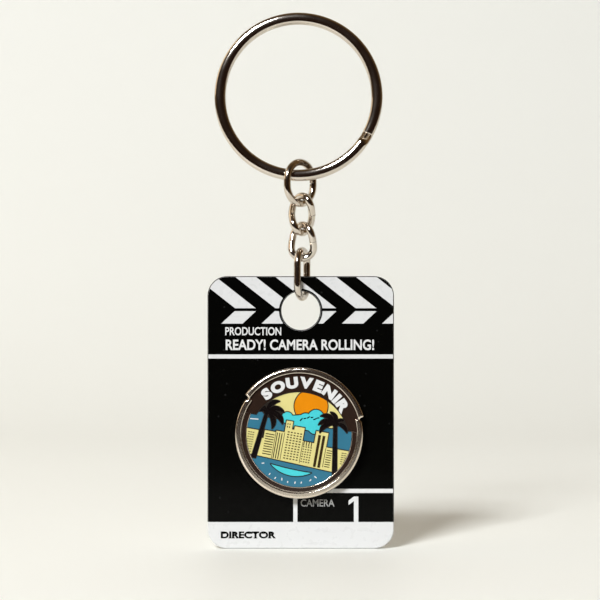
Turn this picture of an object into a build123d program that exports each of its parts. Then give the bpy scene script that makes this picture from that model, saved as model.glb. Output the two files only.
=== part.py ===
from build123d import *
import os
from math import atan2, cos, pi, radians, sin

# Souvenir keychain: a split ring, a four-link chain, and a printed clapper tag with a turning badge.
# Millimetres, hanging at rest: +X right, +Z up, and the printed face looks along -Y.
# The origin is the centre of the split ring's eye.

# ---- Driving dimensions ----

# Split ring: one flattened wire with an oval section, wound twice round
RING_OUTSIDE = 30.0
RING_BAND = 2.0            # width of the wire seen from the front
RING_WIRE = 1.2            # thickness of one turn along Y
TURN_GAP = 0.04            # between the two turns
END_ANGLE = -28.0          # where the front turn stops, from +X, counter-clockwise positive
CROSS_ANGLE = 9.0          # the wire crosses from the front turn to the rear one over this angle
CROSS_SECTIONS = 7         # wire sections along the crossing
WIRE_END_FILLET = 0.2

# Chain: round wire, each link closed with a butt seam
WIRE = 1.3
SEAM = 0.05
LINK_POINTS = 21                              # along a link's centre line
LINK_HEIGHTS = (8.70, 7.90, 7.30, 9.70)      # outside heights, from the ring down
LINK_ARCH_RADII = (3.25, 1.80, 2.05, 2.50)   # of the wire's centre line
LINK_TOP_TURNS = (45, -45, -45, 70)          # heading of each link's top arch about Z
LINK_BOTTOM_TURNS = (45, 45, -5, 70)         # and of its bottom arch: links 2 and 3 are twisted
LINK_X = (0.30, 0.60, 0.70, 0.65)            # the chain hangs a little to the right
FIRST_LINK_TOP = -11.00
LINK_SLACK = 0.12                            # between the wires of two links at rest

# Tag: a flat plastic plate
TAG_WIDTH = 33.2
TAG_HEIGHT = 48.5
TAG_THICKNESS = 2.0
TAG_CORNER = 3.5
TAG_EDGE = 0.15
TAG_X = 0.40
TAG_TOP = -32.02
TAG_HOLE = 6.9
TAG_HOLE_Z = -38.15

# Badge: a struck metal medallion with a raised banner, turned a little clockwise
BADGE_X = 0.10
BADGE_Z = -60.10
BADGE_TILT = 10.2
BADGE_RADIUS = 11.35
BANNER_RADIUS = 11.92
BANNER_FROM, BANNER_TO = 25.5, 153.5         # angles of the banner's two shoulders
NOTCH_RADIUS = 10.95                         # how far in each shoulder's notch reaches
NOTCH_ANGLE = 3.5                            # between a shoulder and the round part
NOTCH_FILLET = 0.2
RIM_HEIGHT = 2.05                            # heights over the badge's back
FENCE_HEIGHT = 1.60
ENAMEL_HEIGHT = 1.55
POCKET_FLOOR = 1.20
RIM_WIDTH = 1.05
RIM_ROUND = 0.42                             # outside edge
RIM_EASE = 0.15                              # inside edge
FENCE = 0.16                                 # width of the metal lines between two colours
SMALLEST_CELL = 0.12                         # area under which a colour is left out
PICTURE_RADIUS = 9.3
ARCH_RADIUS = 8.93                           # the picture's top edge, under the banner
ARCH_CENTRE = (0.17, -1.42)
ARCH_FOOT = 2.1                              # height at which the banner stops

# Rivet and washers that the badge turns on
RIVET = 2.0
RIVET_HEAD = 3.4
RIVET_HEAD_HEIGHT = 0.7
RIVET_HEAD_ROUND = 0.55
RIVET_FIT = 0.05                             # radial clearance in the tag and the washers
WASHER_OUTSIDE = 6.0
WASHER_THICKNESS = 0.4
WASHER_CHAMFER = 0.06
TURNING_GAP = 0.05

TURN_Y = (RING_WIRE + TURN_GAP) / 2
RING_MID = (RING_OUTSIDE - RING_BAND) / 2
TAG_FRONT = -TAG_THICKNESS / 2
TAG_BACK = TAG_THICKNESS / 2
BADGE_BACK = TAG_FRONT - WASHER_THICKNESS - TURNING_GAP


def finish(part, label):
    """Name a piece and write it out."""
    part.label = label
    export_step(part, f"parts/{label}.step")


os.makedirs("parts", exist_ok=True)


# ---- Split ring ----

def wire_plane(angle, y, climb=0.0):
    """Plane across the ring's wire at an angle round the eye; climb is its slope towards +Y."""
    out = Vector(cos(radians(angle)), 0, sin(radians(angle)))
    along = Vector(-sin(radians(angle)), 0, cos(radians(angle)))
    heading = along * cos(climb) + Vector(0, 1, 0) * sin(climb)
    return Plane(origin=out * RING_MID + Vector(0, y, 0), x_dir=out, z_dir=heading)


cross_length = radians(CROSS_ANGLE) * RING_MID
cross_start = END_ANGLE - CROSS_ANGLE
turn_arc = 360 - CROSS_ANGLE
front_axis = Axis((0, 0, 0), (0, -1, 0))

with BuildPart() as split_ring:
    for start, y in ((END_ANGLE, -TURN_Y), (END_ANGLE, TURN_Y)):
        with BuildSketch(wire_plane(start, y)):
            Ellipse(RING_BAND / 2, RING_WIRE / 2)
        revolve(axis=front_axis, revolution_arc=turn_arc)
    ends = [
        split_ring.faces().sort_by_distance(wire_plane(END_ANGLE, -TURN_Y).origin)[0],
        split_ring.faces().sort_by_distance(wire_plane(cross_start, TURN_Y).origin)[0],
    ]
    fillet([edge for face in ends for edge in face.edges()], WIRE_END_FILLET)
    for step in range(CROSS_SECTIONS):
        part_way = step / (CROSS_SECTIONS - 1)
        y = -TURN_Y * cos(pi * part_way)
        climb = atan2(TURN_Y * pi * sin(pi * part_way), cross_length)
        with BuildSketch(wire_plane(cross_start + CROSS_ANGLE * part_way, y, climb)):
            Ellipse(RING_BAND / 2, RING_WIRE / 2)
    loft()
finish(split_ring.part, "split_ring")


# ---- Chain ----

def link_path(height, radius, top_turn, bottom_turn, x, top):
    """Points of a link's centre line, from one side of its seam to the other.

    The link is two half circles joined by straight sides. Its heading about Z eases from
    top_turn to bottom_turn on the way down, which twists the sides and leaves both arches flat.
    """
    side = height - WIRE - 2 * radius
    round_length = pi * radius
    total = 2 * side + 2 * round_length
    points = []
    for number in range(LINK_POINTS):
        run = side / 2 + SEAM / 2 + (total - SEAM) * number / (LINK_POINTS - 1)
        run = run % total
        if run < side:
            across, drop = radius, radius + side - run
        elif run < side + round_length:
            angle = (run - side) / radius
            across, drop = radius * cos(angle), radius - radius * sin(angle)
        elif run < 2 * side + round_length:
            across, drop = -radius, radius + run - side - round_length
        else:
            angle = (run - 2 * side - round_length) / radius
            across, drop = -radius * cos(angle), radius + side + radius * sin(angle)
        ease = (1 - cos(pi * drop / (2 * radius + side))) / 2
        turn = radians(top_turn + (bottom_turn - top_turn) * ease)
        points.append((x + across * cos(turn), across * sin(turn), top - WIRE / 2 - drop))
    return points


link_top = FIRST_LINK_TOP
chain = zip(LINK_HEIGHTS, LINK_ARCH_RADII, LINK_TOP_TURNS, LINK_BOTTOM_TURNS, LINK_X)
for number, (height, radius, top_turn, bottom_turn, x) in enumerate(chain, start=1):
    with BuildPart() as link:
        with BuildLine() as centre_line:
            Spline(link_path(height, radius, top_turn, bottom_turn, x, link_top))
        with BuildSketch(Plane(origin=centre_line.line @ 0, z_dir=centre_line.line % 0)):
            Circle(WIRE / 2)
        sweep()
    finish(link.part, f"chain_link_{number}")
    link_top = link_top - height + 2 * WIRE + LINK_SLACK


# ---- Tag ----

with BuildPart() as tag_plate:
    with BuildSketch(Plane.XZ.offset(-TAG_BACK)):
        with Locations((TAG_X, TAG_TOP - TAG_HEIGHT / 2)):
            RectangleRounded(TAG_WIDTH, TAG_HEIGHT, TAG_CORNER)
        with Locations((TAG_X, TAG_HOLE_Z)):
            Circle(TAG_HOLE / 2, mode=Mode.SUBTRACT)
    extrude(amount=TAG_THICKNESS)
    chamfer(tag_plate.edges().filter_by(Plane.XZ), TAG_EDGE)
    with BuildSketch(Plane.XZ.offset(-TAG_BACK)):
        with Locations((BADGE_X, BADGE_Z)):
            Circle(RIVET / 2 + RIVET_FIT)
    extrude(amount=TAG_THICKNESS, mode=Mode.SUBTRACT)
finish(tag_plate.part, "tag_plate")


# ---- Badge outlines, in the badge's own plane: first number right, second number up ----

def badge_plane(height):
    """Plane over the badge's back that faces the viewer, turned with the badge."""
    right = Vector(cos(radians(BADGE_TILT)), 0, -sin(radians(BADGE_TILT)))
    return Plane(origin=(BADGE_X, BADGE_BACK - height, BADGE_Z), x_dir=right, z_dir=(0, -1, 0))


def polar(radius, angle):
    return (radius * cos(radians(angle)), radius * sin(radians(angle)))


with BuildSketch() as outline:
    with BuildLine():
        banner_arc = CenterArc((0, 0), BANNER_RADIUS, BANNER_FROM, BANNER_TO - BANNER_FROM)
        round_from = BANNER_TO + NOTCH_ANGLE
        round_to = BANNER_FROM - NOTCH_ANGLE + 360
        round_arc = CenterArc((0, 0), BADGE_RADIUS, round_from, round_to - round_from)
        Polyline(banner_arc @ 1, polar(NOTCH_RADIUS, BANNER_TO + 1), round_arc @ 0)
        Polyline(round_arc @ 1, polar(NOTCH_RADIUS, BANNER_FROM - 1), banner_arc @ 0)
    make_face()
    fillet(outline.vertices(), NOTCH_FILLET)
outline = outline.sketch

with BuildSketch() as picture:
    Circle(PICTURE_RADIUS)
    with BuildSketch(mode=Mode.PRIVATE) as window:
        with Locations(ARCH_CENTRE):
            Circle(ARCH_RADIUS)
        with Locations((0, ARCH_FOOT)):
            Rectangle(3 * PICTURE_RADIUS, 3 * PICTURE_RADIUS, align=(Align.CENTER, Align.MAX))
    add(window.sketch, mode=Mode.INTERSECT)
picture = picture.sketch

with BuildSketch() as rim_opening:
    Circle(BADGE_RADIUS - RIM_WIDTH)
    with BuildLine():
        banner_edge = CenterArc((0, 0), BANNER_RADIUS - RIM_WIDTH, BANNER_FROM, BANNER_TO - BANNER_FROM)
        Polyline(banner_edge @ 1, (0, 0), banner_edge @ 0)
    make_face()
    fillet(rim_opening.vertices(), NOTCH_FILLET)
rim_opening = rim_opening.sketch

with BuildSketch() as banner_field:
    add(rim_opening)
    with Locations((0, ARCH_FOOT + FENCE)):
        Rectangle(
            3 * BADGE_RADIUS, 3 * BADGE_RADIUS, align=(Align.CENTER, Align.MIN), mode=Mode.INTERSECT
        )
    offset(picture, amount=FENCE, mode=Mode.SUBTRACT)
banner_field = banner_field.sketch

with BuildSketch() as rim_field:
    Circle(BADGE_RADIUS - RIM_WIDTH - FENCE)
    Circle(PICTURE_RADIUS + FENCE, mode=Mode.SUBTRACT)
    with Locations((0, ARCH_FOOT)):
        Rectangle(
            3 * BADGE_RADIUS, 3 * BADGE_RADIUS, align=(Align.CENTER, Align.MIN), mode=Mode.SUBTRACT
        )
rim_field = rim_field.sketch


def polygon(*points):
    with BuildSketch() as shape:
        with BuildLine():
            Polyline(*points, close=True)
        make_face()
    return shape.sketch


def lens(start, end, bulge_a, bulge_b):
    """Shape between two arcs that run from start to end; each bulge is the arc's middle height
    to the left of the straight way, as a part of its length."""
    start, end = Vector(*start), Vector(*end)
    left = (end - start).rotate(Axis.Z, 90)
    middle = (start + end) / 2
    with BuildSketch() as shape:
        with BuildLine():
            ThreePointArc(start, middle + left * bulge_a, end)
            ThreePointArc(start, middle + left * bulge_b, end)
        make_face()
    return shape.sketch


def palm(foot, head, foot_width, head_width, fronds):
    """A leaning trunk and a crown of drooping fronds; each frond is its tip, seen from the head."""
    with BuildSketch() as shape:
        add(polygon(
            (foot[0] - foot_width / 2, foot[1]),
            (foot[0] + foot_width / 2, foot[1]),
            (head[0] + head_width / 2, head[1]),
            (head[0] - head_width / 2, head[1]),
        ))
        with Locations(head):
            Circle(head_width)
        for across, up in fronds:
            tip = (head[0] + across, head[1] + up)
            side = -1 if across < 0 else 1
            add(lens(head, tip, side * 0.34, side * 0.08))
    return shape.sketch


# ---- Picture shapes, from the back of the scene to its front ----

SUN_CENTRE, SUN_RADIUS = (1.2, 5.3), 2.95
CLOUD_PUFFS = ((-2.6, 2.6, 1.0), (-0.9, 2.2, 1.1), (0.7, 2.7, 1.25), (2.4, 3.5, 1.4), (2.5, 1.7, 1.1))
CLOUD_TAIL = ((-4.4, 2.5), (-1.0, 3.3), (3.2, 4.4), (4.4, 3.0), (3.6, 0.9), (-1.5, 1.2))
HORIZON_LEFT, HORIZON_RIGHT = -4.9, -5.75       # heights at the two sides of the picture
SIDE = 10.0                                     # past the picture's edge

with BuildSketch() as sun:
    with Locations(SUN_CENTRE):
        Circle(SUN_RADIUS)
sun = sun.sketch

with BuildSketch() as cloud:
    for across, up, radius in CLOUD_PUFFS:
        with Locations((across, up)):
            Circle(radius)
    add(polygon(*CLOUD_TAIL))
cloud = cloud.sketch

water = polygon((-SIDE, HORIZON_LEFT), (SIDE, HORIZON_RIGHT), (SIDE, -SIDE), (-SIDE, -SIDE))
wave = lens((-4.0, -6.0), (3.3, -6.3), -0.02, -0.17)
skyline = polygon(
    (-SIDE, -0.45), (-7.2, -0.45), (-7.2, -1.7), (-6.1, -1.7), (-6.1, -0.25), (-4.1, -0.25),
    (-4.1, 0.0), (-2.6, 0.0), (-2.6, 2.1), (-1.4, 2.1), (-1.4, 0.7), (-1.0, 0.7), (-1.0, 1.35),
    (0.8, 1.35), (0.8, -1.0), (2.9, -1.0), (2.9, 1.2), (5.1, 1.2), (5.1, -1.35), (SIDE, -1.35),
    (SIDE, HORIZON_RIGHT), (-SIDE, HORIZON_LEFT),
)
palm_left = palm(
    (-7.25, -5.4), (-6.3, 3.0), 0.75, 0.5,
    ((-3.0, -0.8), (-2.6, 0.7), (1.9, 2.2), (3.0, 0.4), (3.1, -1.7), (1.4, -2.8)),
)
palm_right = palm(
    (7.45, -5.9), (6.0, 3.0), 0.75, 0.5,
    ((-2.8, 0.9), (-1.2, 1.9), (1.6, 0.8), (2.3, -1.2), (-2.9, -0.7), (-2.4, -2.0)),
)
ground = polygon(
    (-SIDE, 4.0), (-8.0, 3.6), (-6.3, 2.0), (5.6, 2.0), (7.0, 3.6), (SIDE, 4.0),
    (SIDE, HORIZON_RIGHT), (-SIDE, HORIZON_LEFT),
)


def cell(shape, *covers):
    """What the shapes in front leave of a picture shape, less a metal fence along each of them."""
    with BuildSketch() as region:
        add(shape)
        add(picture, mode=Mode.INTERSECT)
        for cover in covers:
            offset(cover, amount=FENCE, mode=Mode.SUBTRACT)
    return Sketch() + [face for face in region.faces() if face.area > SMALLEST_CELL]


palms = (palm_left, palm_right)
enamels = {
    "enamel_banner": banner_field,
    "enamel_rim": rim_field,
    "enamel_dawn_sky": cell(picture, ground, water, cloud, sun, skyline, *palms),
    "enamel_sun": cell(sun, cloud, skyline, *palms),
    "enamel_cloud": cell(cloud, skyline, *palms),
    "enamel_blue_sky": cell(ground, cloud, sun, skyline, water, *palms),
    "enamel_skyline": cell(skyline, water, *palms),
    "enamel_water": cell(water, wave, *palms),
    "enamel_wave": cell(wave),
    "enamel_palm_left": cell(palm_left),
    "enamel_palm_right": cell(palm_right),
}

# ---- Badge solids ----

with BuildPart() as badge_base:
    with BuildSketch(badge_plane(0)):
        add(outline)
    extrude(amount=FENCE_HEIGHT)
    with BuildSketch(badge_plane(FENCE_HEIGHT)):
        add(outline)
        add(rim_opening, mode=Mode.SUBTRACT)
    extrude(amount=RIM_HEIGHT - FENCE_HEIGHT)
    fillet(badge_base.faces().sort_by(Axis.Y)[0].outer_wire().edges(), RIM_ROUND)
    fillet(badge_base.faces().sort_by(Axis.Y)[0].inner_wires().edges(), RIM_EASE)
    for region in enamels.values():
        with BuildSketch(badge_plane(POCKET_FLOOR)):
            add(region)
        extrude(amount=FENCE_HEIGHT - POCKET_FLOOR, mode=Mode.SUBTRACT)
finish(badge_base.part, "badge_base")

for label, region in enamels.items():
    with BuildPart() as enamel:
        with BuildSketch(badge_plane(POCKET_FLOOR)):
            add(region)
        extrude(amount=ENAMEL_HEIGHT - POCKET_FLOOR)
    finish(enamel.part, label)


# ---- Rivet and washers ----

def rivet_plane(y):
    """Plane across the rivet at this Y; extrusions from it go towards the back."""
    return Plane(origin=(BADGE_X, y, BADGE_Z), x_dir=(-1, 0, 0), z_dir=(0, 1, 0))


rear_washer_face = TAG_BACK + TURNING_GAP
rivet_head_face = rear_washer_face + WASHER_THICKNESS

with BuildPart() as badge_rivet:
    with BuildSketch(rivet_plane(BADGE_BACK)):
        Circle(RIVET / 2)
    extrude(amount=rivet_head_face - BADGE_BACK)
    with BuildSketch(rivet_plane(rivet_head_face)):
        Circle(RIVET_HEAD / 2)
    extrude(amount=RIVET_HEAD_HEIGHT)
    fillet(badge_rivet.faces().sort_by(Axis.Y)[-1].edges(), RIVET_HEAD_ROUND)
finish(badge_rivet.part, "badge_rivet")

for label, face in (("spacer_washer", TAG_FRONT - WASHER_THICKNESS), ("rear_washer", rear_washer_face)):
    with BuildPart() as washer:
        with BuildSketch(rivet_plane(face)):
            Circle(WASHER_OUTSIDE / 2)
            Circle(RIVET / 2 + RIVET_FIT, mode=Mode.SUBTRACT)
        extrude(amount=WASHER_THICKNESS)
        chamfer(washer.edges().filter_by(GeomType.CIRCLE), WASHER_CHAMFER)
    finish(washer.part, label)
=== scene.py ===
from math import pi, radians

import bpy
from bpy.props import FloatProperty, FloatVectorProperty, PointerProperty, StringProperty
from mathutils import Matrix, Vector


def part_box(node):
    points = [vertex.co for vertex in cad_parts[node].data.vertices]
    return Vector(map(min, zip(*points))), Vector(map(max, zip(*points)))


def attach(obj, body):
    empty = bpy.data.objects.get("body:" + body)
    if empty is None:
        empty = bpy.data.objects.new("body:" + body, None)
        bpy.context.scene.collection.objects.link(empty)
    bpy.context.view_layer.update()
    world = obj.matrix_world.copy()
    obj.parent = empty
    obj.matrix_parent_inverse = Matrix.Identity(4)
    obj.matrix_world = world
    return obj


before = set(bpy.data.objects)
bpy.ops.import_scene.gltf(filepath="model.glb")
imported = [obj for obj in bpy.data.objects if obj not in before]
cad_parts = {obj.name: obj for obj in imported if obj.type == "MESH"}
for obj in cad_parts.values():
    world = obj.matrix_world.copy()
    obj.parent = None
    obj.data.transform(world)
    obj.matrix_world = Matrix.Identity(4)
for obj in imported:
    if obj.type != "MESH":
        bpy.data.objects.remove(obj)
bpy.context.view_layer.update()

bl_info = {
    "name": "Clapper keychain",
    "version": (1, 0, 0),
    "blender": (4, 5, 0),
    "location": "3D View > Sidebar > Keychain",
    "description": "Prints, letters and finishes a souvenir keychain, and sets it on a small stage",
    "category": "Object",
}

MM = 0.001

# ---- Places taken from the frame ----

TAG_LOW, TAG_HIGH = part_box("tag_plate")
TAG_FRONT = TAG_LOW.y
RIVET_LOW, RIVET_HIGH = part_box("badge_rivet")
BADGE_CENTRE = (RIVET_LOW + RIVET_HIGH) / 2
ENAMEL_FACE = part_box("enamel_banner")[0].y
HOLE_CENTRE = Vector(((TAG_LOW.x + TAG_HIGH.x) / 2, TAG_FRONT, TAG_HIGH.z - 6.13 * MM))
HOLE_RADIUS = 3.45 * MM
TAG_CORNER = 3.5 * MM
PICTURE_RADIUS = 9.38 * MM
ARCH_FOOT = 2.0 * MM

# Heights of the printed bands, down from the tag's top edge
CLAPPER_FOOT = 5.70 * MM
CLAPPER_LINE = 6.20 * MM
HINGE_FOOT = 8.44 * MM
TITLE_FOOT = 13.91 * MM
RULE_FOOT = 14.66 * MM
SLATE_FOOT = 43.75 * MM

# Beyond the hanging hole's radius: where the print starts, and the ring printed round the hole
HOLE_MARGIN = 0.2 * MM
HOLE_RING_INNER = 0.16 * MM
HOLE_RING_OUTER = 0.42 * MM

# The slate's boxes and number: heights are down from the tag's top edge, and lefts and rights are places
BOX_LINE = 0.74 * MM
BOX_ACROSS_LEFT, BOX_ACROSS_HEAD = 4.4 * MM, 37.85 * MM
BOX_DOWN_LEFT, BOX_DOWN_HEAD = -0.93 * MM, 39.1 * MM
NUMBER_LEFT, NUMBER_RIGHT, NUMBER_HEAD = 9.86 * MM, 10.66 * MM, 39.23 * MM
NUMBER_STROKE = 0.8 * MM

# Behind the tag's front face, between these depths, its rounded edge is printed black
EDGE_INK_FRONT, EDGE_INK_BACK = 0.01 * MM, 0.16 * MM
EDGE_INK = (0.002, 0.002, 0.002)

# The banner's word: the angle it fills, the angle between two letters, and how much its strokes are fattened
BANNER_SPAN, LETTER_GAP, LETTER_WEIGHT = radians(107), radians(1.5), 0.07
FINE_LINE_DEPTH = 0.02 * MM

# The stage, in metres
FLOOR_WIDTH, FLOOR_DEPTH, FLOOR_MIDDLE = 5, 0.93, 0.335
BACKDROP_HEIGHT, BACKDROP_SWEEP = 1.4, 0.5
VIEW_HEIGHT, VIEW_ACROSS = -36.25 * MM, 0.27 * MM
SENSOR_WIDTH = 36

# ---- Settings ----


def length(name, description, default_mm):
    """A length setting, given in millimetres."""
    return FloatProperty(
        name=name, description=description, default=default_mm * MM, unit="LENGTH", precision=5
    )


def colour(name, description, default):
    """A colour setting."""
    return FloatVectorProperty(
        name=name, description=description, default=default, subtype="COLOR", size=3, min=0, max=1
    )


class PrintSettings(bpy.types.PropertyGroup):
    ink: length("Ink thickness", "Thickness of one printed layer", 0.03)
    margin: length("Margin", "Border left between the print's films and the tag's edge", 0.15)
    pitch: length("Stripe pitch", "From one stripe of the clapper to the next", 7.16)
    title: StringProperty(name="Title", description="Small line of the slate", default="PRODUCTION")
    headline: StringProperty(
        name="Headline", description="Large line of the slate", default="READY! CAMERA ROLLING!"
    )
    black: colour("Black ink", "Colour of the black print", (0.0015, 0.0015, 0.0012))
    white: colour("White ink", "Colour of the white print", (0.68, 0.68, 0.67))
    grey: colour("Grey ink", "Colour of the small label", (0.30, 0.30, 0.29))


class BadgeSettings(bpy.types.PropertyGroup):
    word: StringProperty(name="Banner word", description="Word on the badge's banner", default="SOUVENIR")
    tilt: FloatProperty(
        name="Tilt", description="Clockwise turn of the badge", default=radians(10.2), subtype="ANGLE"
    )
    letter_low: length("Letter foot", "Radius at the foot of the banner's letters", 8.22)
    letter_high: length("Letter head", "Radius at the head of the banner's letters", 10.25)
    brown: colour("Brown", "Banner and ring enamel", (0.024, 0.013, 0.009))
    cream: colour("Cream", "Light sky and skyline enamel", (0.68, 0.61, 0.24))
    orange: colour("Orange", "Sun enamel", (0.71, 0.235, 0.005))
    teal: colour("Teal", "Cloud and wave enamel", (0.065, 0.56, 0.60))
    blue: colour("Blue", "Sky and water enamel", (0.035, 0.158, 0.24))
    black: colour("Black", "Palm enamel", (0.006, 0.004, 0.004))
    outline: colour("Outline", "Dark metal between two colours", (0.02, 0.014, 0.01))


class MetalSettings(bpy.types.PropertyGroup):
    nickel: colour("Nickel", "Ring and chain plating", (0.72, 0.65, 0.57))
    badge: colour("Badge metal", "Rim of the badge", (0.80, 0.71, 0.60))
    plastic: colour("Tag plastic", "Body of the tag", (0.61, 0.61, 0.605))


class StageSettings(bpy.types.PropertyGroup):
    width: length("Framed width", "Width of the view at the keychain", 107.14)
    distance: length("Camera distance", "From the camera to the keychain", 380)
    floor: colour("Floor", "Colour of the floor and backdrop", (0.955, 0.96, 0.905))


# ---- Small tools ----


def deselect():
    if bpy.context.object and bpy.context.object.mode != "OBJECT":
        bpy.ops.object.mode_set(mode="OBJECT")
    bpy.ops.object.select_all(action="DESELECT")


def select(*objects):
    """Selects these objects alone; the first is the active one."""
    deselect()
    for obj in objects:
        obj.select_set(True)
    bpy.context.view_layer.objects.active = objects[0]


def name_new(name):
    """Names the object that has just been added."""
    obj = bpy.context.object
    obj.name = name
    obj.data.name = name
    return obj


def apply_place(obj):
    select(obj)
    bpy.ops.object.transform_apply(location=True, rotation=True, scale=True)


def apply_modifier(obj, kind, **values):
    """Adds a modifier with these values and applies it."""
    select(obj)
    modifier = obj.modifiers.new(kind.title(), kind)
    for key, value in values.items():
        setattr(modifier, key, value)
    bpy.ops.object.modifier_apply(modifier=modifier.name)


def panel(name, left, right, low, high, y=0.0):
    """A flat sheet that faces the viewer."""
    deselect()
    place = ((left + right) / 2, y, (low + high) / 2)
    bpy.ops.mesh.primitive_plane_add(size=1, location=place, rotation=(pi / 2, 0, 0))
    obj = name_new(name)
    obj.scale = (right - left, high - low, 1)
    apply_place(obj)
    return obj


def mark_vertices(obj, test):
    """Selects the vertices that pass a test of their place, and opens edit mode."""
    select(obj)
    bpy.ops.object.mode_set(mode="EDIT")
    bpy.ops.mesh.select_mode(type="VERT")
    bpy.ops.mesh.select_all(action="DESELECT")
    bpy.ops.object.mode_set(mode="OBJECT")
    for vertex in obj.data.vertices:
        vertex.select = test(vertex.co)
    bpy.ops.object.mode_set(mode="EDIT")


def round_corners(obj, test, radius):
    """Rounds the sheet's corners that pass a test of their place."""
    mark_vertices(obj, test)
    bpy.ops.mesh.bevel(offset=radius, segments=10, affect="VERTICES")
    bpy.ops.object.mode_set(mode="OBJECT")


def cut_along(obj, point, normal):
    """Cuts a sheet along a plane and keeps both sides."""
    select(obj)
    bpy.ops.object.mode_set(mode="EDIT")
    bpy.ops.mesh.select_all(action="SELECT")
    bpy.ops.mesh.bisect(plane_co=point, plane_no=normal)
    bpy.ops.object.mode_set(mode="OBJECT")


def drop_faces(obj, test):
    """Deletes the faces whose centre passes a test."""
    select(obj)
    bpy.ops.object.mode_set(mode="EDIT")
    bpy.ops.mesh.select_mode(type="FACE")
    bpy.ops.mesh.select_all(action="DESELECT")
    bpy.ops.object.mode_set(mode="OBJECT")
    for face in obj.data.polygons:
        face.select = test(face.center)
    bpy.ops.object.mode_set(mode="EDIT")
    bpy.ops.mesh.delete(type="FACE")
    bpy.ops.object.mode_set(mode="OBJECT")


def punch(obj, centre, radius):
    """Cuts a round hole through a sheet or a film along Y."""
    deselect()
    bpy.ops.mesh.primitive_cylinder_add(
        vertices=128, radius=radius, depth=4 * MM, location=centre, rotation=(pi / 2, 0, 0)
    )
    cutter = name_new("punch")
    apply_modifier(obj, "BOOLEAN", object=cutter, operation="DIFFERENCE", solver="EXACT")
    bpy.data.objects.remove(cutter)


def thicken(obj, depth):
    """Gives a sheet its thickness, towards the viewer."""
    apply_modifier(obj, "SOLIDIFY", thickness=depth, offset=1)


def fit_box(obj, low, high):
    """Scales and moves a mesh so that it fills a box."""
    points = [vertex.co for vertex in obj.data.vertices]
    least = Vector([min(point[axis] for point in points) for axis in range(3)])
    most = Vector([max(point[axis] for point in points) for axis in range(3)])
    scale = [(high[axis] - low[axis]) / max(most[axis] - least[axis], 1e-9) for axis in range(3)]
    obj.scale = scale
    obj.location = [low[axis] - least[axis] * scale[axis] for axis in range(3)]
    apply_place(obj)


def plain_words(name, text, weight):
    """Words as a mesh in the built-in face; weight fattens the strokes."""
    deselect()
    bpy.ops.object.text_add(rotation=(pi / 2, 0, 0))
    obj = name_new(name)
    obj.data.body = text
    obj.data.offset = weight
    obj.data.extrude = 0.1
    obj.data.resolution_u = 6
    select(obj)
    bpy.ops.object.convert(target="MESH")
    obj = bpy.context.object
    apply_place(obj)
    return obj


def words(name, text, left, right, low, high, weight, front, back):
    """Words that fill a box."""
    obj = plain_words(name, text, weight)
    fit_box(obj, (left, front, low), (right, back, high))
    return obj


def join(name, pieces):
    select(*pieces)
    bpy.ops.object.join()
    return name_new(name)


def on_badge(obj, tilt):
    """Moves a piece drawn round the origin onto the tilted badge."""
    obj.rotation_euler = (0, tilt, 0)
    obj.location = (BADGE_CENTRE.x, ENAMEL_FACE, BADGE_CENTRE.z)
    apply_place(obj)


def finish_piece(obj, body, finish):
    """Gives a new piece its body and its material."""
    obj.data.materials.clear()
    obj.data.materials.append(finish)
    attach(obj, body)


def coat_nodes(names, finish):
    """Puts a material on CAD nodes."""
    for name in names:
        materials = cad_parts[name].data.materials
        materials.clear()
        materials.append(finish)


# ---- Shared shader group ----


def surface_wear():
    """Broad clouding, hairline scratches and specks, as numbers from 0 to 1."""
    if "Surface wear" in bpy.data.node_groups:
        return bpy.data.node_groups["Surface wear"]
    tree = bpy.data.node_groups.new("Surface wear", "ShaderNodeTree")
    for name, value in (("Cloud scale", 150.0), ("Scratch scale", 260.0), ("Speck scale", 500.0)):
        socket = tree.interface.new_socket(name, in_out="INPUT", socket_type="NodeSocketFloat")
        socket.default_value = value
    for name in ("Cloud", "Scratches", "Specks"):
        tree.interface.new_socket(name, in_out="OUTPUT", socket_type="NodeSocketFloat")
    nodes, links = tree.nodes, tree.links
    inputs, outputs = nodes.new("NodeGroupInput"), nodes.new("NodeGroupOutput")
    place = nodes.new("ShaderNodeTexCoord")

    cloud = nodes.new("ShaderNodeTexNoise")
    cloud.inputs["Detail"].default_value = 4
    links.new(place.outputs["Object"], cloud.inputs["Vector"])
    links.new(inputs.outputs["Cloud scale"], cloud.inputs["Scale"])
    links.new(cloud.outputs["Fac"], outputs.inputs["Cloud"])

    turned = nodes.new("ShaderNodeMapping")
    turned.inputs["Rotation"].default_value = (0.3, 0.9, 0.2)
    turned.inputs["Scale"].default_value = (1, 1, 14)
    links.new(place.outputs["Object"], turned.inputs["Vector"])
    hair = nodes.new("ShaderNodeTexNoise")
    hair.inputs["Detail"].default_value = 2
    links.new(turned.outputs["Vector"], hair.inputs["Vector"])
    links.new(inputs.outputs["Scratch scale"], hair.inputs["Scale"])
    narrow = nodes.new("ShaderNodeMapRange")
    narrow.inputs["From Min"].default_value = 0.66
    narrow.inputs["From Max"].default_value = 0.74
    links.new(hair.outputs["Fac"], narrow.inputs["Value"])
    links.new(narrow.outputs["Result"], outputs.inputs["Scratches"])

    dots = nodes.new("ShaderNodeTexVoronoi")
    links.new(place.outputs["Object"], dots.inputs["Vector"])
    links.new(inputs.outputs["Speck scale"], dots.inputs["Scale"])
    small = nodes.new("ShaderNodeMapRange")
    small.inputs["From Min"].default_value = 0.09
    small.inputs["From Max"].default_value = 0.05
    links.new(dots.outputs["Distance"], small.inputs["Value"])
    links.new(small.outputs["Result"], outputs.inputs["Specks"])
    return tree


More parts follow.
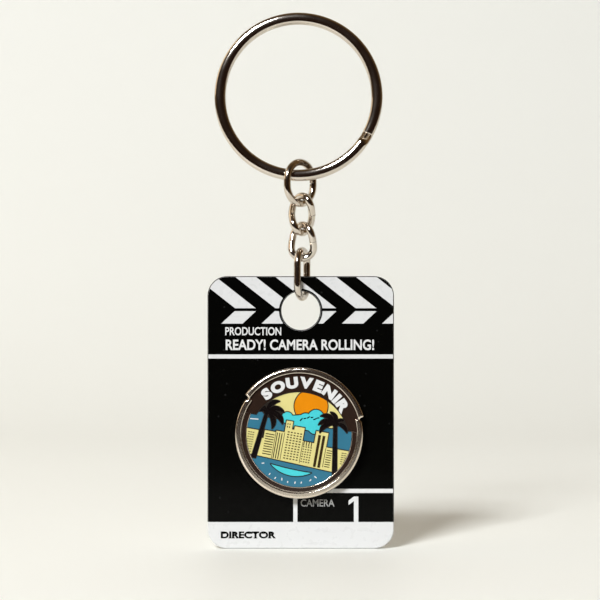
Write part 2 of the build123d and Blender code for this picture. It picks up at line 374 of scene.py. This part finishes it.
class Finish:
    """A material under way: its shader, and the shared wear that varies it."""

    def __init__(self, name, cloud=150.0, scratch=260.0, speck=500.0):
        self.material = bpy.data.materials.new(name)
        self.material.use_nodes = True
        self.nodes = self.material.node_tree.nodes
        self.links = self.material.node_tree.links
        self.nodes.clear()
        output = self.nodes.new("ShaderNodeOutputMaterial")
        self.shader = self.nodes.new("ShaderNodeBsdfPrincipled")
        self.links.new(self.shader.outputs["BSDF"], output.inputs["Surface"])
        self.wear = self.nodes.new("ShaderNodeGroup")
        self.wear.node_tree = surface_wear()
        for socket, value in (("Cloud scale", cloud), ("Scratch scale", scratch), ("Speck scale", speck)):
            self.wear.inputs[socket].default_value = value

    def mix(self, factor, first, second):
        """A colour between two colours or sockets, led by a factor socket."""
        node = self.nodes.new("ShaderNodeMix")
        node.data_type = "RGBA"
        self.links.new(factor, node.inputs["Factor"])
        for slot, value in (("A", first), ("B", second)):
            socket = [item for item in node.inputs if item.name == slot and item.type == "RGBA"][0]
            if isinstance(value, bpy.types.NodeSocket):
                self.links.new(value, socket)
            else:
                socket.default_value = (*value, 1)
        return [item for item in node.outputs if item.type == "RGBA"][0]

    def spread(self, factor, low, high, start=0.3, end=0.7):
        """A number between low and high, led by a factor socket."""
        node = self.nodes.new("ShaderNodeMapRange")
        node.inputs["From Min"].default_value = start
        node.inputs["From Max"].default_value = end
        node.inputs["To Min"].default_value = low
        node.inputs["To Max"].default_value = high
        self.links.new(factor, node.inputs["Value"])
        return node.outputs["Result"]

    def above(self, value, limit):
        """1 where a value is over a limit, and 0 elsewhere."""
        node = self.nodes.new("ShaderNodeMath")
        node.operation = "GREATER_THAN"
        node.inputs[1].default_value = limit
        self.links.new(value, node.inputs[0])
        return node.outputs["Value"]

    def between(self, low_y, high_y, low_z):
        """1 between two depths and over a height, and 0 elsewhere."""
        place = self.nodes.new("ShaderNodeTexCoord")
        split = self.nodes.new("ShaderNodeSeparateXYZ")
        self.links.new(place.outputs["Object"], split.inputs["Vector"])
        depth = self.nodes.new("ShaderNodeMath")
        depth.operation = "COMPARE"
        depth.inputs[1].default_value = (low_y + high_y) / 2
        depth.inputs[2].default_value = (high_y - low_y) / 2
        self.links.new(split.outputs["Y"], depth.inputs[0])
        both = self.nodes.new("ShaderNodeMath")
        both.operation = "MULTIPLY"
        self.links.new(depth.outputs["Value"], both.inputs[0])
        self.links.new(self.above(split.outputs["Z"], low_z), both.inputs[1])
        return both.outputs["Value"]

    def connect(self, output, socket):
        self.links.new(output, self.shader.inputs[socket])

    def bump(self, height, distance, strength=1.0):
        node = self.nodes.new("ShaderNodeBump")
        node.inputs["Distance"].default_value = distance
        node.inputs["Strength"].default_value = strength
        self.links.new(height, node.inputs["Height"])
        self.connect(node.outputs["Normal"], "Normal")


def darker(tone, part):
    return tuple(channel * part for channel in tone)


# ---- Materials ----


def plated_nickel(name, tone):
    """Polished nickel plate with a warm cloud and fine handling scratches."""
    finish = Finish(name, cloud=240.0, scratch=420.0)
    cloud = finish.wear.outputs["Cloud"]
    finish.connect(finish.mix(cloud, tone, darker(tone, 0.86)), "Base Color")
    finish.connect(finish.spread(cloud, 0.09, 0.15), "Roughness")
    finish.shader.inputs["Metallic"].default_value = 1
    finish.bump(finish.wear.outputs["Scratches"], 0.002 * MM, 0.3)
    return finish.material


def struck_metal(tone, outline):
    """Polished badge metal, blackened where it shows between the picture's colours."""
    finish = Finish("Struck metal", cloud=300.0, scratch=500.0)
    place = finish.nodes.new("ShaderNodeTexCoord")
    centred = finish.nodes.new("ShaderNodeVectorMath")
    centred.operation = "SUBTRACT"
    centred.inputs[1].default_value = BADGE_CENTRE
    finish.links.new(place.outputs["Object"], centred.inputs[0])
    flat = finish.nodes.new("ShaderNodeVectorMath")
    flat.operation = "MULTIPLY"
    flat.inputs[1].default_value = (1, 0, 1)
    finish.links.new(centred.outputs["Vector"], flat.inputs[0])
    radius = finish.nodes.new("ShaderNodeVectorMath")
    radius.operation = "LENGTH"
    finish.links.new(flat.outputs["Vector"], radius.inputs[0])
    edge = (PICTURE_RADIUS - 0.04 * MM, PICTURE_RADIUS)
    bright = finish.spread(radius.outputs["Value"], 0, 1, *edge)
    cloud = finish.wear.outputs["Cloud"]
    plated = finish.mix(cloud, tone, darker(tone, 0.84))
    finish.connect(finish.mix(bright, outline, plated), "Base Color")
    finish.connect(finish.spread(radius.outputs["Value"], 0.35, 0.17, *edge), "Roughness")
    finish.connect(finish.spread(radius.outputs["Value"], 0.6, 1, *edge), "Metallic")
    finish.bump(finish.wear.outputs["Scratches"], 0.002 * MM, 0.2)
    return finish.material


def moulded_plastic(name, tone, roughness, edge=None):
    """Smooth moulded plastic with faint orange peel and scuffs; edge is a printed zone, as lowest y,
    highest y and lowest z."""
    finish = Finish(name, cloud=900.0, scratch=180.0)
    cloud, scuffs = finish.wear.outputs["Cloud"], finish.wear.outputs["Scratches"]
    finish.connect(finish.mix(scuffs, tone, darker(tone, 0.93)), "Base Color")
    if edge:
        body = finish.shader.inputs["Base Color"].links[0].from_socket
        finish.connect(finish.mix(finish.between(*edge), body, EDGE_INK), "Base Color")
    finish.connect(finish.spread(cloud, roughness, roughness + 0.12), "Roughness")
    finish.shader.inputs["Subsurface Weight"].default_value = 0.08
    finish.shader.inputs["Subsurface Radius"].default_value = (1, 0.9, 0.8)
    finish.shader.inputs["Subsurface Scale"].default_value = 0.4 * MM
    finish.bump(cloud, 0.003 * MM, 0.15)
    return finish.material


def hard_enamel(name, tone):
    """Glossy enamel with a slight pooling of its colour and a ground, clear surface."""
    finish = Finish(name, cloud=420.0, scratch=300.0)
    cloud = finish.wear.outputs["Cloud"]
    finish.connect(finish.mix(cloud, tone, darker(tone, 0.82)), "Base Color")
    finish.connect(finish.spread(cloud, 0.10, 0.16), "Roughness")
    finish.shader.inputs["Specular IOR Level"].default_value = 0.4
    finish.bump(cloud, 0.01 * MM, 0.3)
    return finish.material


def printed_ink(name, tone, speck_tone):
    """A smooth printed layer with a faint mottle and a few pale specks."""
    finish = Finish(name, cloud=1500.0, scratch=150.0, speck=420.0)
    cloud = finish.wear.outputs["Cloud"]
    body = finish.mix(cloud, tone, darker(tone, 0.8))
    finish.connect(finish.mix(finish.wear.outputs["Specks"], body, speck_tone), "Base Color")
    finish.connect(finish.spread(cloud, 0.12, 0.18), "Roughness")
    finish.shader.inputs["Specular IOR Level"].default_value = 0.06
    finish.bump(cloud, 0.001 * MM, 0.1)
    return finish.material


def material(name, maker, *values):
    """A material by name, made the first time it is asked for."""
    return bpy.data.materials.get(name) or maker(name, *values)


def black_ink():
    tone = bpy.context.scene.keychain_print.black
    return material("Black ink", printed_ink, tone, (0.012, 0.012, 0.012))


def white_ink():
    tone = bpy.context.scene.keychain_print.white
    return material("White ink", printed_ink, tone, darker(tone, 0.9))


# ---- Metal, plastic and enamel ----


class KEYCHAIN_OT_plate_metal(bpy.types.Operator):
    """Plate the split ring, the four links, the badge's rivet and its rear washer"""

    bl_idname = "keychain.plate_metal"
    bl_label = "Plate the ring and chain"

    def execute(self, context):
        links = [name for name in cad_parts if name.startswith("chain_link_")]
        nickel = plated_nickel("Plated nickel", context.scene.keychain_metal.nickel)
        coat_nodes(["split_ring", *sorted(links), "rear_washer", "badge_rivet"], nickel)
        return {"FINISHED"}


class KEYCHAIN_OT_mould_tag(bpy.types.Operator):
    """Give the tag and the washer behind the badge their plastic"""

    bl_idname = "keychain.mould_tag"
    bl_label = "Mould the tag"

    def execute(self, context):
        tone = context.scene.keychain_metal.plastic
        edge = (TAG_FRONT + EDGE_INK_FRONT, TAG_FRONT + EDGE_INK_BACK, TAG_HIGH.z - SLATE_FOOT)
        coat_nodes(["tag_plate"], moulded_plastic("Tag plastic", tone, 0.24, edge))
        coat_nodes(["spacer_washer"], moulded_plastic("Washer nylon", darker(tone, 0.9), 0.45))
        return {"FINISHED"}


class KEYCHAIN_OT_enamel_badge(bpy.types.Operator):
    """Fill the badge with its enamels and polish its metal"""

    bl_idname = "keychain.enamel_badge"
    bl_label = "Enamel the badge"

    def execute(self, context):
        tones = context.scene.keychain_badge
        metal = struck_metal(context.scene.keychain_metal.badge, tones.outline)
        coat_nodes(["badge_base"], metal)
        fills = {
            "Brown enamel": (tones.brown, ("enamel_banner", "enamel_rim")),
            "Cream enamel": (tones.cream, ("enamel_dawn_sky", "enamel_skyline")),
            "Orange enamel": (tones.orange, ("enamel_sun",)),
            "Teal enamel": (tones.teal, ("enamel_cloud", "enamel_wave")),
            "Blue enamel": (tones.blue, ("enamel_blue_sky", "enamel_water")),
            "Black enamel": (tones.black, ("enamel_palm_left", "enamel_palm_right")),
        }
        for name, (tone, nodes) in fills.items():
            coat_nodes(nodes, hard_enamel(name, tone))
        return {"FINISHED"}


# ---- Print on the tag ----


def stripe_band(name, settings, top, foot, lean, start, white, numbers):
    """A black band with white stripes cut out; lean is their sideways step for each step up."""
    left, right = TAG_LOW.x + settings.margin, TAG_HIGH.x - settings.margin
    obj = panel(name, left, right, foot, top, TAG_FRONT)
    if top > TAG_HIGH.z - TAG_CORNER:
        round_corners(obj, lambda place: place.z > top - 0.01 * MM, TAG_CORNER - settings.margin)
    normal = Vector((1, 0, -lean)).normalized()
    for number in numbers:
        for offset in (0, white):
            cut_along(obj, Vector((start + number * settings.pitch + offset, 0, top)), normal)

    def is_white(place):
        along = place.x - lean * (place.z - top) - start
        return along // settings.pitch in numbers and along % settings.pitch < white

    drop_faces(obj, is_white)
    return obj


class KEYCHAIN_OT_print_clapper(bpy.types.Operator):
    """Print the clapper's two striped bands and the ring round the hanging hole"""

    bl_idname = "keychain.print_clapper"
    bl_label = "Print the clapper"

    def execute(self, context):
        settings = context.scene.keychain_print
        top = TAG_HIGH.z
        bands = (
            ("print_clapper_upper", settings.margin, CLAPPER_FOOT, -1.28, -11.22, 3.68, range(-1, 4)),
            ("print_clapper_lower", CLAPPER_LINE, HINGE_FOOT, 1.07, -11.38, 3.83, range(0, 5)),
        )
        for name, head, foot, lean, start, white, numbers in bands:
            obj = stripe_band(
                name, settings, top - head, top - foot, lean, start * MM, white * MM, numbers
            )
            punch(obj, HOLE_CENTRE, HOLE_RADIUS + HOLE_MARGIN)
            thicken(obj, settings.ink)
            finish_piece(obj, "tag", black_ink())

        left, right = TAG_LOW.x + settings.margin, TAG_HIGH.x - settings.margin
        line = panel("print_clapper_line", left, right, top - CLAPPER_LINE, top - CLAPPER_FOOT, TAG_FRONT)
        punch(line, HOLE_CENTRE, HOLE_RADIUS + HOLE_MARGIN)
        thicken(line, settings.ink)
        finish_piece(line, "tag", black_ink())

        deselect()
        bpy.ops.mesh.primitive_circle_add(
            vertices=128, radius=HOLE_RADIUS + HOLE_RING_OUTER, fill_type="NGON",
            location=HOLE_CENTRE, rotation=(pi / 2, 0, 0),
        )
        ring = name_new("print_hole_ring")
        apply_place(ring)
        punch(ring, HOLE_CENTRE, HOLE_RADIUS + HOLE_RING_INNER)
        thicken(ring, 1.5 * settings.ink)
        finish_piece(ring, "tag", black_ink())
        return {"FINISHED"}


class KEYCHAIN_OT_print_slate(bpy.types.Operator):
    """Print the slate's two black panels, the white lines of its boxes and its number"""

    bl_idname = "keychain.print_slate"
    bl_label = "Print the slate"

    def execute(self, context):
        settings = context.scene.keychain_print
        top = TAG_HIGH.z
        left, right = TAG_LOW.x + settings.margin, TAG_HIGH.x - settings.margin
        for name, high, low in (
            ("print_title_panel", top - HINGE_FOOT, top - TITLE_FOOT),
            ("print_slate_panel", top - RULE_FOOT, top - SLATE_FOOT),
        ):
            obj = panel(name, left, right, low, high, TAG_FRONT)
            if low < HOLE_CENTRE.z < high + HOLE_RADIUS:
                punch(obj, HOLE_CENTRE, HOLE_RADIUS + HOLE_MARGIN)
            thicken(obj, settings.ink)
            finish_piece(obj, "tag", black_ink())

        face = TAG_FRONT - settings.ink
        foot = top - SLATE_FOOT
        across_top = top - BOX_ACROSS_HEAD
        across = panel("print_box_across", BOX_ACROSS_LEFT, right, across_top - BOX_LINE, across_top, face)
        down_right, down_top = BOX_DOWN_LEFT + BOX_LINE, top - BOX_DOWN_HEAD
        down = panel("print_box_down", BOX_DOWN_LEFT, down_right, foot, down_top, face)
        head = top - NUMBER_HEAD
        number = panel("print_number", NUMBER_LEFT, NUMBER_RIGHT, foot, head, face)
        cut_along(number, Vector((0, 0, head - NUMBER_STROKE)), Vector((0, 0, 1)))
        mark_vertices(number, lambda place: place.x < 10 * MM and place.z > head - MM)
        bpy.ops.mesh.extrude_region_move(TRANSFORM_OT_translate={"value": (-0.95 * MM, 0, -0.72 * MM)})
        bpy.ops.object.mode_set(mode="OBJECT")
        for obj in (across, down, number):
            thicken(obj, settings.ink)
            finish_piece(obj, "tag", white_ink())
        return {"FINISHED"}


def serif_bars(obj, height, front, back):
    """Adds flat feet and heads to upright strokes, as a serif face has."""
    points = [vertex.co for vertex in obj.data.vertices]
    heights = [round(point.z / MM, 2) for point in points]
    middle = (max(heights) + min(heights)) / 2
    reach = height * 0.11
    bars = []
    for step, levels in ((1, [z for z in heights if z < middle]), (-1, [z for z in heights if z > middle])):
        level = max(set(levels), key=levels.count) * MM
        edge = sorted({round(p.x / MM, 2) for p in points if abs(p.z - level) < height * 0.01})
        stem = []
        for place in edge + [1e6]:
            if stem and place - stem[-1] > height / MM * 0.3:
                if stem[-1] - stem[0] > height / MM * 0.08:
                    ends = (stem[0] * MM - reach, stem[-1] * MM + reach)
                    bars.append((*ends, level, level + step * reach))
                stem = []
            stem.append(place)
    made = []
    for number, (left, right, first, last) in enumerate(bars):
        bar = panel(f"serif_{number}", left, right, min(first, last), max(first, last), back)
        thicken(bar, back - front)
        made.append(bar)
    return join(obj.name, [obj, *made])


class KEYCHAIN_OT_print_words(bpy.types.Operator):
    """Print the words of the slate"""

    bl_idname = "keychain.print_words"
    bl_label = "Print the words"

    def execute(self, context):
        settings = context.scene.keychain_print
        grey = material("Grey ink", printed_ink, settings.grey, darker(settings.grey, 1.2))
        lines = (
            ("title", settings.title, -13.04, -3.07, 9.05, 10.53, 0.020, "ink_white", white_ink()),
            ("headline", settings.headline, -12.96, 13.48, 11.25, 13.16, 0.026, "ink_white", white_ink()),
            ("label", "CAMERA", 0.39, 6.41, 39.71, 41.02, 0.016, "ink_grey", grey),
            ("credit", "DIRECTOR", -13.84, -4.02, 45.44, 46.69, 0.042, "ink_black", black_ink()),
        )
        for name, text, left, right, head, foot, weight, slot, finish in lines:
            back = TAG_FRONT - (0 if name == "credit" else settings.ink)
            front = back - settings.ink
            low, high = TAG_HIGH.z - foot * MM, TAG_HIGH.z - head * MM
            obj = words(f"print_{name}", text, left * MM, right * MM, low, high, weight, front, back)
            if name == "credit":
                obj = serif_bars(obj, high - low, front, back)
            finish_piece(obj, "tag", finish)
        return {"FINISHED"}


# ---- Lettering and fine lines on the badge ----


class KEYCHAIN_OT_wire_picture(bpy.types.Operator):
    """Lay a polished rounded wire along the round edge of the badge's picture"""

    bl_idname = "keychain.wire_picture"
    bl_label = "Wire the picture"

    def execute(self, context):
        deselect()
        bpy.ops.mesh.primitive_torus_add(
            major_radius=PICTURE_RADIUS, minor_radius=0.09 * MM, major_segments=192, minor_segments=12,
            rotation=(pi / 2, 0, 0),
        )
        wire = name_new("picture_wire")
        apply_place(wire)
        select(wire)
        bpy.ops.object.mode_set(mode="EDIT")
        bpy.ops.mesh.select_all(action="SELECT")
        bpy.ops.mesh.bisect(
            plane_co=(0, 0, ARCH_FOOT), plane_no=(0, 0, 1), clear_outer=True, use_fill=True
        )
        bpy.ops.object.mode_set(mode="OBJECT")
        bpy.ops.object.shade_smooth_by_angle(angle=radians(40))
        on_badge(wire, context.scene.keychain_badge.tilt)
        finish = plated_nickel("Picture wire nickel", context.scene.keychain_metal.badge)
        finish_piece(wire, "badge", finish)
        return {"FINISHED"}


class KEYCHAIN_OT_letter_banner(bpy.types.Operator):
    """Set the banner's word round the top of the badge, letter by letter"""

    bl_idname = "keychain.letter_banner"
    bl_label = "Letter the banner"

    def execute(self, context):
        settings = context.scene.keychain_badge
        middle = (settings.letter_low + settings.letter_high) / 2
        letters = [plain_words(f"letter_{n}", text, LETTER_WEIGHT) for n, text in enumerate(settings.word)]
        widths = [obj.dimensions.x for obj in letters]
        share = (BANNER_SPAN - LETTER_GAP * (len(letters) - 1)) / sum(widths)
        angle = -BANNER_SPAN / 2
        for obj, width in zip(letters, widths):
            half = middle * share * width / 2
            fit_box(obj, (-half, -0.06 * MM, settings.letter_low), (half, 0.01 * MM, settings.letter_high))
            obj.rotation_euler = (0, angle + share * width / 2, 0)
            apply_place(obj)
            angle += share * width + LETTER_GAP
        lettering = join("banner_lettering", letters)
        on_badge(lettering, settings.tilt)
        finish_piece(lettering, "badge", white_ink())
        return {"FINISHED"}


def grid_of_panes(name, left, right, top, foot, columns, rows, fill_across, fill_down):
    """Equal panes in rows and columns: one pane, repeated by two arrays."""
    step_across, step_down = (right - left) / columns, (top - foot) / rows
    pane = panel(name, left, left + step_across * fill_across, top - step_down * fill_down, top)
    for count, offset in ((columns, (step_across, 0, 0)), (rows, (0, 0, -step_down))):
        apply_modifier(
            pane, "ARRAY", count=count, use_relative_offset=False,
            use_constant_offset=True, constant_offset_displace=offset,
        )
    return pane


# Left, right, top and foot in millimetres, columns, rows, and how much of each cell a pane fills
BUILDINGS = (
    (-8.95, -7.75, -0.95, -4.75, 3, 9, 0.72, 0.36),
    (-5.85, -4.20, -0.75, -4.75, 1, 9, 0.95, 0.36),
    (-3.90, -2.65, -0.30, -4.90, 3, 1, 0.40, 1.00),
    (-2.35, -1.60, 1.65, 0.65, 2, 2, 0.45, 0.55),
    (-2.05, 0.75, 0.25, -4.90, 5, 11, 0.60, 0.42),
    (1.05, 2.85, -1.85, -4.95, 4, 7, 0.58, 0.42),
    (1.05, 2.85, -0.95, -1.75, 4, 1, 0.36, 1.00),
    (3.40, 4.95, 0.55, -5.15, 2, 1, 0.62, 1.00),
    (5.35, 6.35, -1.80, -5.10, 1, 8, 0.95, 0.36),
    (8.00, 9.00, -1.80, -4.10, 2, 6, 0.80, 0.36),
)
WALL_LINES = ((-4.1, -0.1), (-2.55, -0.1), (0.9, -1.2), (5.1, -1.5))


class KEYCHAIN_OT_draw_windows(bpy.types.Operator):
    """Draw the windows and wall lines of the badge's skyline"""

    bl_idname = "keychain.draw_windows"
    bl_label = "Draw the windows"

    def execute(self, context):
        pieces = []
        for number, (left, right, top, foot, columns, rows, across, down) in enumerate(BUILDINGS):
            pieces.append(grid_of_panes(
                f"panes_{number}", left * MM, right * MM, top * MM, foot * MM,
                columns, rows, across, down,
            ))
        for number, (place, top) in enumerate(WALL_LINES):
            pieces.append(panel(
                f"wall_line_{number}", (place - 0.05) * MM, (place + 0.05) * MM, -4.95 * MM, top * MM
            ))
        windows = join("skyline_windows", pieces)
        thicken(windows, FINE_LINE_DEPTH)
        on_badge(windows, context.scene.keychain_badge.tilt)
        ink = material("Window ink", printed_ink, (0.035, 0.022, 0.008), (0.09, 0.06, 0.02))
        finish_piece(windows, "badge", ink)
        return {"FINISHED"}


# Middle across, middle up, length and turn of each stroke: millimetres and degrees
CLOUD_STROKES = (
    (-0.1, 2.7, 0.7, 55), (0.5, 3.0, 0.5, 20), (1.1, 3.3, 0.6, 40), (1.7, 3.4, 0.5, 10),
    (2.3, 3.2, 0.7, 35), (2.8, 3.5, 0.5, 15),
)
WATER_STROKES = (
    (-5.4, -6.1, 0.5, 15), (4.2, -6.9, 0.5, -30), (3.4, -7.6, 0.45, 60), (-3.9, -7.8, 0.4, 60),
    (-2.8, -8.3, 0.4, 60), (-1.6, -8.3, 0.5, 100), (-0.5, -8.6, 0.35, 90), (0.8, -8.5, 0.45, 90),
    (1.9, -8.3, 0.4, 80), (-8.3, 1.35, 1.5, 6),
)


def strokes(name, marks, width):
    """Short brush strokes: a sheet with pointed, rounded ends for each mark."""
    pieces = []
    for number, (across, up, long, turn) in enumerate(marks):
        half = long * MM / 2
        stroke = panel(f"{name}_{number}", -half, half, -width / 2, width / 2)
        round_corners(stroke, lambda place: True, width * 0.49)
        stroke.rotation_euler = (0, -radians(turn), 0)
        stroke.location = (across * MM, 0, up * MM)
        apply_place(stroke)
        pieces.append(stroke)
    made = join(name, pieces)
    thicken(made, FINE_LINE_DEPTH)
    return made


class KEYCHAIN_OT_draw_strokes(bpy.types.Operator):
    """Draw the small dark strokes on the cloud and the light ones on the water"""

    bl_idname = "keychain.draw_strokes"
    bl_label = "Draw the strokes"

    def execute(self, context):
        tilt = context.scene.keychain_badge.tilt
        for name, marks, width, slot, ink in (
            ("cloud_strokes", CLOUD_STROKES, 0.20 * MM, "ink_black", black_ink()),
            ("water_strokes", WATER_STROKES, 0.18 * MM, "ink_white", white_ink()),
        ):
            made = strokes(name, marks, width)
            on_badge(made, tilt)
            finish_piece(made, "badge", ink)
        return {"FINISHED"}


# ---- Stage ----


def studio_world():
    """A warm room with a dim side in front of the keychain, which its metal mirrors, and pale walls."""
    world = bpy.data.worlds.new("Studio")
    world.use_nodes = True
    nodes, links = world.node_tree.nodes, world.node_tree.links
    nodes.clear()
    output, sky = nodes.new("ShaderNodeOutputWorld"), nodes.new("ShaderNodeBackground")
    place, split = nodes.new("ShaderNodeTexCoord"), nodes.new("ShaderNodeSeparateXYZ")
    links.new(place.outputs["Generated"], split.inputs["Vector"])
    ramp = nodes.new("ShaderNodeValToRGB")
    reach = nodes.new("ShaderNodeMapRange")
    reach.inputs["From Min"].default_value = -1
    reach.inputs["From Max"].default_value = 0
    links.new(split.outputs["Y"], reach.inputs["Value"])
    links.new(reach.outputs["Result"], ramp.inputs["Fac"])
    ramp.color_ramp.elements[0].color = (0.020, 0.010, 0.006, 1)
    ramp.color_ramp.elements[0].position = 0.3
    ramp.color_ramp.elements[1].color = (0.17, 0.105, 0.045, 1)
    links.new(ramp.outputs["Color"], sky.inputs["Color"])
    seen, paper = nodes.new("ShaderNodeLightPath"), nodes.new("ShaderNodeBackground")
    choice = nodes.new("ShaderNodeMixShader")
    paper.inputs["Color"].default_value = (0.86, 0.85, 0.80, 1)
    links.new(seen.outputs["Is Camera Ray"], choice.inputs["Fac"])
    links.new(sky.outputs["Background"], choice.inputs[1])
    links.new(paper.outputs["Background"], choice.inputs[2])
    links.new(choice.outputs["Shader"], output.inputs["Surface"])
    bpy.context.scene.world = world


def add_light(name, place, target, size, energy, tone):
    deselect()
    bpy.ops.object.light_add(type="AREA", location=place)
    light = name_new(name)
    light.data.size = size
    light.data.energy = energy
    light.data.color = tone
    light.rotation_euler = (Vector(target) - Vector(place)).to_track_quat("-Z", "Y").to_euler()


class KEYCHAIN_OT_set_stage(bpy.types.Operator):
    """Build the floor and backdrop, the lights and the camera"""

    bl_idname = "keychain.set_stage"
    bl_label = "Set the stage"

    def execute(self, context):
        settings = context.scene.keychain_stage
        floor_level = TAG_LOW.z - 0.05 * MM
        deselect()
        bpy.ops.mesh.primitive_plane_add(size=1, location=(0, FLOOR_MIDDLE, floor_level))
        floor = name_new("stage_floor")
        floor.scale = (FLOOR_WIDTH, FLOOR_DEPTH, 1)
        apply_place(floor)
        back = max(vertex.co.y for vertex in floor.data.vertices)
        select(floor)
        bpy.ops.object.mode_set(mode="EDIT")
        bpy.ops.mesh.select_mode(type="EDGE")
        bpy.ops.mesh.select_all(action="DESELECT")
        bpy.ops.object.mode_set(mode="OBJECT")
        for edge in floor.data.edges:
            edge.select = all(floor.data.vertices[end].co.y > back - MM for end in edge.vertices)
        bpy.ops.object.mode_set(mode="EDIT")
        bpy.ops.mesh.extrude_region_move(TRANSFORM_OT_translate={"value": (0, 0, BACKDROP_HEIGHT)})
        bpy.ops.object.mode_set(mode="OBJECT")
        mark = floor_level + MM
        mark_vertices(floor, lambda place: place.y > back - MM and place.z < mark)
        bpy.ops.mesh.bevel(offset=BACKDROP_SWEEP, segments=16, affect="EDGES")
        bpy.ops.object.mode_set(mode="OBJECT")
        bpy.ops.object.shade_smooth()
        paper = Finish("Stage paper", cloud=3.0)
        tone = settings.floor
        paper.connect(paper.mix(paper.wear.outputs["Cloud"], tone, darker(tone, 0.97)), "Base Color")
        paper.shader.inputs["Roughness"].default_value = 0.55
        floor.data.materials.append(paper.material)

        studio_world()
        centre = (0, 0, VIEW_HEIGHT)
        add_light("Key", (-0.64, -1.57, 1.02), centre, 0.50, 52.0, (0.95, 0.975, 1.0))
        add_light("Side", (-0.60, 0.05, 0.30), (0, 0.2, 0), 0.5, 0.8, (1.0, 0.85, 0.66))

        focus = Vector((VIEW_ACROSS, 0, VIEW_HEIGHT))
        deselect()
        bpy.ops.object.camera_add(location=focus + Vector((0, -settings.distance, 0)))
        camera = name_new("Camera")
        camera.rotation_euler = (pi / 2, 0, 0)
        camera.data.sensor_width = SENSOR_WIDTH
        camera.data.lens = SENSOR_WIDTH * settings.distance / settings.width
        camera.data.clip_start = 0.01
        context.scene.camera = camera
        context.scene.view_settings.view_transform = "Standard"
        return {"FINISHED"}


# ---- Panel and registration ----

STEPS = (
    KEYCHAIN_OT_plate_metal,
    KEYCHAIN_OT_mould_tag,
    KEYCHAIN_OT_enamel_badge,
    KEYCHAIN_OT_print_clapper,
    KEYCHAIN_OT_print_slate,
    KEYCHAIN_OT_print_words,
    KEYCHAIN_OT_wire_picture,
    KEYCHAIN_OT_letter_banner,
    KEYCHAIN_OT_draw_windows,
    KEYCHAIN_OT_draw_strokes,
    KEYCHAIN_OT_set_stage,
)
SETTINGS = {
    "keychain_print": PrintSettings,
    "keychain_badge": BadgeSettings,
    "keychain_metal": MetalSettings,
    "keychain_stage": StageSettings,
}


class KEYCHAIN_PT_sidebar(bpy.types.Panel):
    """Every setting and step of the keychain"""

    bl_idname = "KEYCHAIN_PT_sidebar"
    bl_label = "Clapper keychain"
    bl_space_type = "VIEW_3D"
    bl_region_type = "UI"
    bl_category = "Keychain"

    def draw(self, context):
        for name, group in SETTINGS.items():
            box = self.layout.box()
            for setting in group.__annotations__:
                box.prop(getattr(context.scene, name), setting)
        for step in STEPS:
            self.layout.operator(step.bl_idname)


def register():
    for group in SETTINGS.values():
        bpy.utils.register_class(group)
    for step in STEPS:
        bpy.utils.register_class(step)
    bpy.utils.register_class(KEYCHAIN_PT_sidebar)
    for name, group in SETTINGS.items():
        setattr(bpy.types.Scene, name, PointerProperty(type=group))


def unregister():
    for name in SETTINGS:
        delattr(bpy.types.Scene, name)
    bpy.utils.unregister_class(KEYCHAIN_PT_sidebar)
    for step in reversed(STEPS):
        bpy.utils.unregister_class(step)
    for group in reversed(list(SETTINGS.values())):
        bpy.utils.unregister_class(group)


def main():
    register()
    for step in STEPS:
        module, action = step.bl_idname.split(".")
        getattr(getattr(bpy.ops, module), action)()


if __name__ == "__main__":
    main()
